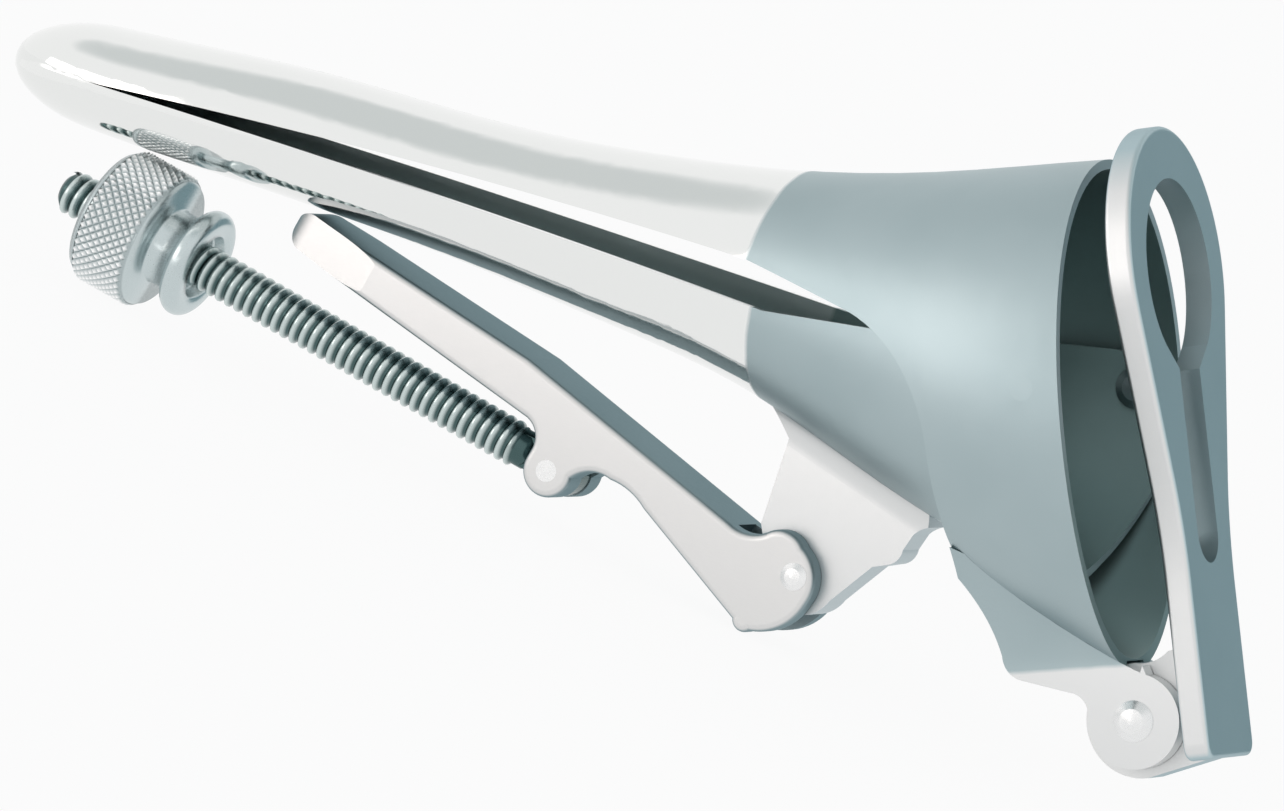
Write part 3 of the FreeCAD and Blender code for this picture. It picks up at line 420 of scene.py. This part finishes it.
def add_knurl(mesh, start, end):
    """A band of small pyramids: peaks and grooves take turns round and along the band."""
    columns = KNURLS_AROUND * 2
    step = math.tau * WHEEL_RADIUS / columns
    rows = int(round((end - start) / step / 2)) * 2
    end_radius = WHEEL_RADIUS - KNURL_DEPTH * 1.3
    column = [mesh.verts.new((-start - (end - start) * row / rows, 0, WHEEL_RADIUS))
              for row in range(rows + 1)]
    edges = [mesh.edges.new(pair) for pair in zip(column, column[1:])]
    before = set(mesh.faces)
    bmesh.ops.spin(mesh, geom=column + edges, cent=(0, 0, 0), axis=(1, 0, 0), dvec=(0, 0, 0),
                   angle=math.tau, steps=columns, use_merge=True)
    band = [face for face in mesh.faces if face not in before]
    low = set()
    for vert in {vert for face in band for vert in face.verts}:
        row = round((-vert.co.x - start) / (end - start) * rows)
        place = round(math.atan2(vert.co.y, vert.co.z) / math.tau * columns)
        radius = WHEEL_RADIUS
        if (row + place) % 2:
            low.add(vert)
            radius = WHEEL_RADIUS - KNURL_DEPTH
        if row in (0, rows):
            radius = end_radius
        scale = radius / math.hypot(vert.co.y, vert.co.z)
        vert.co.y *= scale
        vert.co.z *= scale
    for face in band:
        grooves = [vert for vert in face.verts if vert in low]
        if len(grooves) == 2:
            bmesh.utils.face_split(face, grooves[0], grooves[1])


SATIN, SATIN_SHADE = (0.37, 0.455, 0.475), (0.42, 0.505, 0.525)
# The second tone is a painted highlight for sides that catch the light; the first is the polished blades'
# own tone.
MIRROR, SIDE_HIGHLIGHT = (0.82, 0.83, 0.82), (0.72, 0.73, 0.73)
# Painted shade on the blades' hollow side: the first tone inside the collar, the second inside the polished
# blades.
HOLLOW_SHADE, CHANNEL_SHADE = (0.22, 0.31, 0.31), (0.50, 0.58, 0.58)
PLATE, PLATE_SHADE, PLATE_EDGE = (0.46, 0.57, 0.60), (0.50, 0.61, 0.64), (0.6, 0.66, 0.68)
# The lever's base tones are painted shade: dark on every face but the outer sides, which take the bright
# side tone.
LEVER_SHADED, LEVER_SHADED_CLOUD, LEVER_EDGE = (0.25, 0.32, 0.34), (0.29, 0.36, 0.38), (0.45, 0.55, 0.58)
# The lever's side tone is a painted highlight for the light its outer sides catch; the brushing is its
# grain.
LEVER_SIDE_HIGHLIGHT, LEVER_BRUSHING = (0.70, 0.70, 0.695), (0.15, 1, 1)
LUG, LUG_SHADE, LUG_EDGE = (0.48, 0.54, 0.56), (0.54, 0.59, 0.61), (0.8, 0.85, 0.86)
# A painted highlight for the lug's outer sides.
LUG_SIDE_HIGHLIGHT = (0.70, 0.71, 0.71)
# Painted shade in the grooves and a painted highlight on the crests of the thread and the knurl.
THREAD_GROOVE_SHADE, THREAD_CREST_HIGHLIGHT = (0.07, 0.12, 0.12), (0.62, 0.70, 0.69)
KNURL_GROOVE_SHADE, KNURL_CREST_HIGHLIGHT, NUT_BODY = (0.42, 0.48, 0.49), (0.99, 0.99, 0.99), (0.55, 0.62, 0.63)
PIN, PIN_SHADE = (0.80, 0.81, 0.81), (0.86, 0.86, 0.86)

MOUTHWARDS = (1, 0, 0)
UPPER_BORDER, LOWER_BORDER = -46.0 * MM, -43.5 * MM
LUG_TOWARDS, LUG_BORDER = (-0.37, 0, 1), -36.9 * MM
MIRROR_GLOSS, GROUND_GLOSS = 0.03, 0.26

POLISHED = parted_steel("upper_valve_steel", MOUTHWARDS, UPPER_BORDER, MIRROR, MIRROR_GLOSS,
                        SATIN, SATIN_SHADE, (CHANNEL_SHADE, HOLLOW_SHADE))
POLISHED_LOWER = parted_steel("lower_valve_steel", MOUTHWARDS, LOWER_BORDER, MIRROR, MIRROR_GLOSS,
                              SATIN, SATIN_SHADE, (CHANNEL_SHADE, HOLLOW_SHADE))
# Below the crease the lug is painted in the bright side tone, a painted highlight for the light its flat
# sides catch; its gloss is smoother there too.
COLLAR_LUG = parted_steel("collar_lug_steel", LUG_TOWARDS, LUG_BORDER, SIDE_HIGHLIGHT, GROUND_GLOSS,
                          SATIN, SATIN_SHADE)
COLLAR_SATIN = satin_steel("satin_collar_steel", SATIN, SATIN_SHADE, roughness=0.46, grain=9000)
# The plate, lever and lug take their side tones as a painted highlight on their outer sides.
PLATE_SATIN = satin_steel("satin_plate_steel", PLATE, PLATE_SHADE, roughness=0.42, grain=9000,
                          edge=PLATE_EDGE, sides=SIDE_HIGHLIGHT)
LEVER_BRIGHT = satin_steel("brushed_lever_steel", LEVER_SHADED, LEVER_SHADED_CLOUD, roughness=0.42, grain=5000,
                           edge=LEVER_EDGE, sides=LEVER_SIDE_HIGHLIGHT, along=BLADES, stretch=LEVER_BRUSHING)
LUG_BRIGHT = satin_steel("brushed_lug_steel", LUG, LUG_SHADE, roughness=0.36, grain=8000,
                         edge=LUG_EDGE, sides=LUG_SIDE_HIGHLIGHT)
SCREW_BRIGHT = ridged_steel("rolled_screw_steel", THREAD_GROOVE_SHADE, THREAD_CREST_HIGHLIGHT,
                            low=ROOT_RADIUS + 0.08 * MM, high=THREAD_RADIUS)
NUT_STEEL = ridged_steel("turned_nut_steel", KNURL_GROOVE_SHADE, KNURL_CREST_HIGHLIGHT,
                         low=WHEEL_RADIUS - KNURL_DEPTH, high=WHEEL_RADIUS - KNURL_DEPTH * 0.2,
                         body=NUT_BODY, body_limit=WHEEL_RADIUS - KNURL_DEPTH * 1.4)
PIN_STEEL = satin_steel("pin_steel", PIN, PIN_SHADE, roughness=0.28, grain=7000)

dress("upper_valve", POLISHED)
dress("lower_valve", POLISHED_LOWER)
dress("collar_lug", COLLAR_LUG)
dress("lower_lug", LUG_BRIGHT)
dress("lever", LEVER_BRIGHT)
dress("keyhole_plate", PLATE_SATIN)
for pin in ("lever_pin", "screw_pin", "plate_pin"):
    dress(pin, PIN_STEEL)
for rivet in ("valve_hinge_rivet_left", "valve_hinge_rivet_right"):
    dress(rivet, COLLAR_SATIN)

finished("threaded_screw", screw_mesh(), SCREW, SCREW_BRIGHT, "screw", "screw")
finished("knurled_wheel_nut", nut_mesh(), SCREW, NUT_STEEL, "nut", "knurled_nut")


def studio():
    """A white floor, one broad lamp, and three soft cards for the metal to reflect."""
    half_width, clearance = 6.0, 0.2 * MM
    mesh = bmesh.new()
    bmesh.ops.create_grid(mesh, x_segments=1, y_segments=1, size=half_width)
    data = bpy.data.meshes.new("floor")
    mesh.to_mesh(data)
    mesh.free()
    floor = bpy.data.objects.new("floor", data)
    floor.location = (0, 0, -clearance)
    bpy.context.collection.objects.link(floor)
    floor.data.materials.append(floor_material())
    add_lamp("key", place=(-1.05, -0.95, 0.22), width=1.1, height=0.42, watts=2.2, colour=(1.0, 0.90, 0.85))
    add_card("table_card", place=(-0.12, -0.27, 0.001), size=(0.52, 0.30), turn=(0, -55),
             colour=(3.1, 2.92, 2.85))
    add_card("top_card", place=(0, 0.2, 1.9), size=(4.6, 3.8), turn=(0, 0), colour=(0.70, 0.73, 0.73))
    add_card("back_right_card", place=(0.95, 1.45, 0.55), size=(1.9, 1.5), turn=(90, -30),
             colour=(0.26, 0.37, 0.40))


def add_card(name, place, size, turn, colour):
    """A plain card outside the picture, there only to be reflected in the metal.

    The turn is in degrees, first the tilt about X and then the bearing about Z.
    """
    mesh = bmesh.new()
    bmesh.ops.create_grid(mesh, x_segments=1, y_segments=1, size=0.5)
    bmesh.ops.scale(mesh, vec=(size[0], size[1], 1), verts=mesh.verts)
    data = bpy.data.meshes.new(name)
    mesh.to_mesh(data)
    mesh.free()
    material = bpy.data.materials.new(name)
    material.use_nodes = True
    tree = material.node_tree
    tree.nodes.clear()
    glow = tree.nodes.new("ShaderNodeEmission")
    tree.links.new(faded(tree, size, colour), glow.inputs["Color"])
    output = tree.nodes.new("ShaderNodeOutputMaterial")
    tree.links.new(glow.outputs[0], output.inputs["Surface"])
    data.materials.append(material)
    card = bpy.data.objects.new(name, data)
    card.location = place
    card.rotation_euler = (math.radians(turn[0]), 0, math.radians(turn[1]))
    bpy.context.collection.objects.link(card)
    card.visible_camera = False
    card.visible_diffuse = False
    card.visible_shadow = False


def faded(tree, size, colour):
    """A colour that passes into white towards the card's edges, so that no hard edge is reflected."""
    fade_start, fade_end = 0.7, 1.0
    place = tree.nodes.new("ShaderNodeTexCoord").outputs["Object"]
    scaled = tree.nodes.new("ShaderNodeMapping")
    scaled.inputs["Scale"].default_value = (2 / size[0], 2 / size[1], 1)
    tree.links.new(place, scaled.inputs["Vector"])
    away = tree.nodes.new("ShaderNodeVectorMath")
    away.operation = "LENGTH"
    tree.links.new(scaled.outputs[0], away.inputs[0])
    fade = tree.nodes.new("ShaderNodeMapRange")
    fade.interpolation_type = "SMOOTHSTEP"
    fade.inputs["From Min"].default_value = fade_start
    fade.inputs["From Max"].default_value = fade_end
    tree.links.new(away.outputs["Value"], fade.inputs["Value"])
    mix = tree.nodes.new("ShaderNodeMix")
    mix.data_type = "RGBA"
    mix.inputs[6].default_value = (*colour, 1)
    mix.inputs[7].default_value = (1, 1, 1, 1)
    tree.links.new(fade.outputs["Result"], mix.inputs[0])
    return mix.outputs[2]


def floor_material():
    """White where the camera or a reflection sees it, with a faint shadow kept in it."""
    white_share, paper_tone = 0.93, 0.8
    material = bpy.data.materials.new("floor_white")
    material.use_nodes = True
    tree = material.node_tree
    tree.nodes.clear()
    output = tree.nodes.new("ShaderNodeOutputMaterial")
    mix = tree.nodes.new("ShaderNodeMixShader")
    paper = tree.nodes.new("ShaderNodeBsdfDiffuse")
    paper.inputs["Color"].default_value = (paper_tone, paper_tone, paper_tone, 1)
    glow = tree.nodes.new("ShaderNodeEmission")
    glow.inputs["Strength"].default_value = 1.0
    rays = tree.nodes.new("ShaderNodeLightPath")
    seen = tree.nodes.new("ShaderNodeMath")
    seen.operation = "MAXIMUM"
    tree.links.new(rays.outputs["Is Camera Ray"], seen.inputs[0])
    tree.links.new(rays.outputs["Is Glossy Ray"], seen.inputs[1])
    share = tree.nodes.new("ShaderNodeMath")
    share.operation = "MULTIPLY"
    share.inputs[1].default_value = white_share
    tree.links.new(seen.outputs[0], share.inputs[0])
    tree.links.new(share.outputs[0], mix.inputs[0])
    tree.links.new(paper.outputs[0], mix.inputs[1])
    tree.links.new(glow.outputs[0], mix.inputs[2])
    tree.links.new(mix.outputs[0], output.inputs["Surface"])
    return material


def add_lamp(name, place, width, height, watts, colour):
    """A broad lamp that faces the middle of the instrument."""
    middle = Vector((0, 0, 0.04))
    light = bpy.data.lights.new(name, "AREA")
    light.shape = "RECTANGLE"
    light.size = width
    light.size_y = height
    light.energy = watts
    light.color = colour
    lamp = bpy.data.objects.new(name, light)
    lamp.location = place
    lamp.rotation_euler = (middle - Vector(place)).to_track_quat("-Z", "Y").to_euler()
    bpy.context.collection.objects.link(lamp)


def surround():
    """The world: white to the camera and in the metal, and soft light on everything else."""
    room_colour, room_strength = (0.75, 0.78, 0.80, 1), 0.8
    world = bpy.data.worlds.new("studio")
    bpy.context.scene.world = world
    world.use_nodes = True
    tree = world.node_tree
    tree.nodes.clear()
    output = tree.nodes.new("ShaderNodeOutputWorld")
    room = tree.nodes.new("ShaderNodeBackground")
    white = tree.nodes.new("ShaderNodeBackground")
    white.inputs["Strength"].default_value = 1.0
    white.inputs["Color"].default_value = (1, 1, 1, 1)
    rays = tree.nodes.new("ShaderNodeLightPath")
    seen = tree.nodes.new("ShaderNodeMath")
    seen.operation = "MAXIMUM"
    tree.links.new(rays.outputs["Is Camera Ray"], seen.inputs[0])
    tree.links.new(rays.outputs["Is Transmission Ray"], seen.inputs[1])
    shown = tree.nodes.new("ShaderNodeMath")
    shown.operation = "MAXIMUM"
    tree.links.new(rays.outputs["Is Glossy Ray"], shown.inputs[0])
    tree.links.new(seen.outputs[0], shown.inputs[1])
    room.inputs["Color"].default_value = room_colour
    room.inputs["Strength"].default_value = room_strength
    mix = tree.nodes.new("ShaderNodeMixShader")
    tree.links.new(shown.outputs[0], mix.inputs[0])
    tree.links.new(room.outputs[0], mix.inputs[1])
    tree.links.new(white.outputs[0], mix.inputs[2])
    tree.links.new(mix.outputs[0], output.inputs["Surface"])


studio()
surround()

VIEW_PLACE = Vector((407.278, -1219.964, 119.98)) * MM
VIEW_TURN = Euler([math.radians(angle) for angle in (83.676, -14.866, 22.595)])
SENSOR_WIDTH, FOCAL_LENGTH = 36.0, 290.73
camera_data = bpy.data.cameras.new("camera")
camera_data.sensor_width = SENSOR_WIDTH
camera_data.lens = FOCAL_LENGTH
camera_data.clip_end = 20.0
camera = bpy.data.objects.new("camera", camera_data)
camera.matrix_world = BLADES @ Matrix.Translation(VIEW_PLACE) @ VIEW_TURN.to_matrix().to_4x4()
bpy.context.collection.objects.link(camera)
bpy.context.scene.camera = camera

bpy.context.scene.view_settings.view_transform = "Standard"
